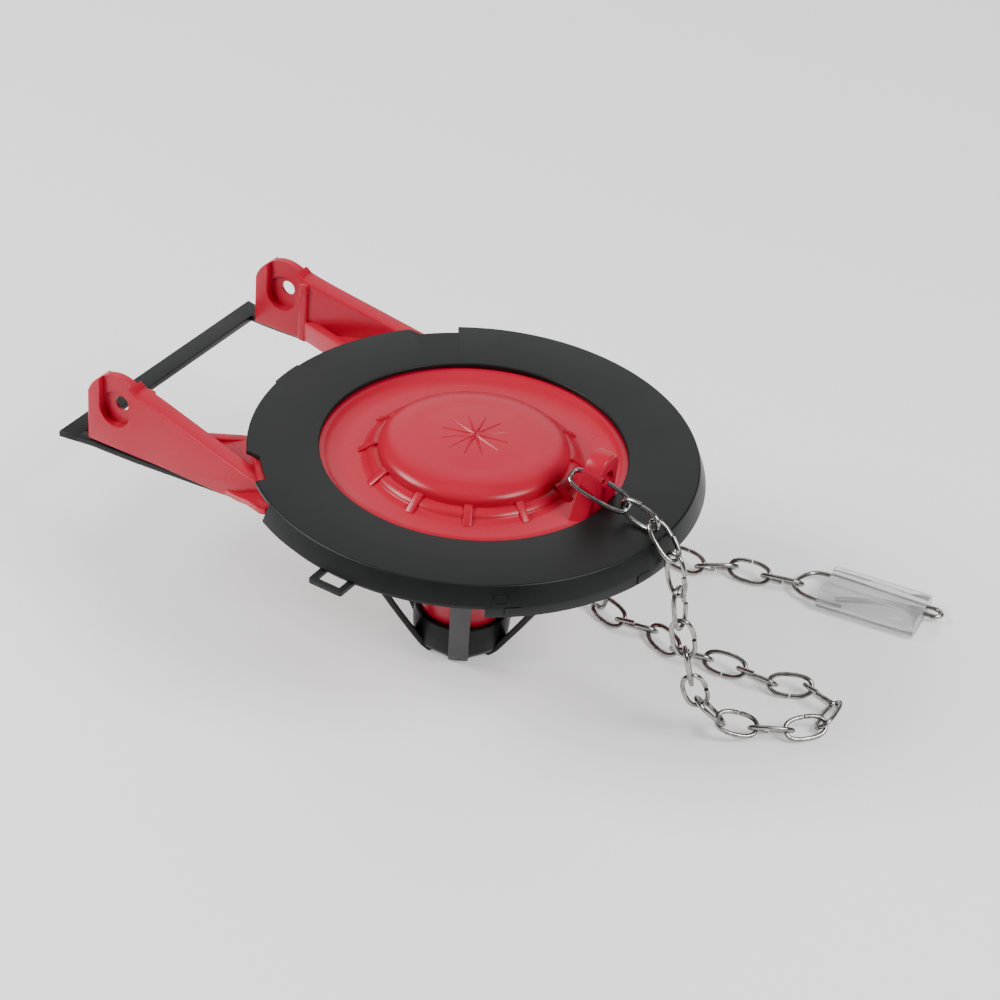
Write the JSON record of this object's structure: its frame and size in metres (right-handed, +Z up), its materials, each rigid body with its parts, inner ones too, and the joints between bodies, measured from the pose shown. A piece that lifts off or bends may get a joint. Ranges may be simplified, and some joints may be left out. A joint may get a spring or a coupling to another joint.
{
  "type": "toilet flapper",
  "caption": "Round rubber cistern valve flap with a clamped rim, hinge arms, float cone in a cage and a lift chain with a sleeved clip.",
  "frame": {"origin": "in the middle of the flat foot of the cage leg on the lug's side, 8.1 mm in front of the disc's axis", "axes": "+Z up along the disc's axis, +Y towards the chain lug, +X along the hinge line"},
  "size_m": [0.1333, 0.1762, 0.065],
  "materials": {
    "moulded_black": "moulded satin black",
    "red_rubber": "satin moulded rubber",
    "bright_wire": "drawn bright wire",
    "clear_tube": "soft clear tube"
  },
  "bodies": {
    "root": {"cage": "moulded_black", "chain_clip": "bright_wire", "chain_link_01": "bright_wire", "chain_link_02": "bright_wire", "chain_link_03": "bright_wire", "chain_link_04": "bright_wire", "chain_link_05": "bright_wire", "chain_link_06": "bright_wire", "chain_link_07": "bright_wire", "chain_link_08": "bright_wire", "chain_link_09": "bright_wire", "chain_link_10": "bright_wire", "chain_link_11": "bright_wire", "chain_link_12": "bright_wire", "chain_link_13": "bright_wire", "chain_link_14": "bright_wire", "chain_link_15": "bright_wire", "chain_link_16": "bright_wire", "chain_link_17": "bright_wire", "chain_link_18": "bright_wire", "chain_link_19": "bright_wire", "chain_link_20": "bright_wire", "chain_link_21": "bright_wire", "chain_link_22": "bright_wire", "chain_link_23": "bright_wire", "chain_link_24": "bright_wire", "chain_link_25": "bright_wire", "chain_link_26": "bright_wire", "chain_link_27": "bright_wire", "chain_link_28": "bright_wire", "clamp_frame": "moulded_black", "clip_sleeve": "clear_tube", "cover_ring": "moulded_black", "lug_link": "bright_wire", "seal_body": "red_rubber"}
  },
  "joints": []
}
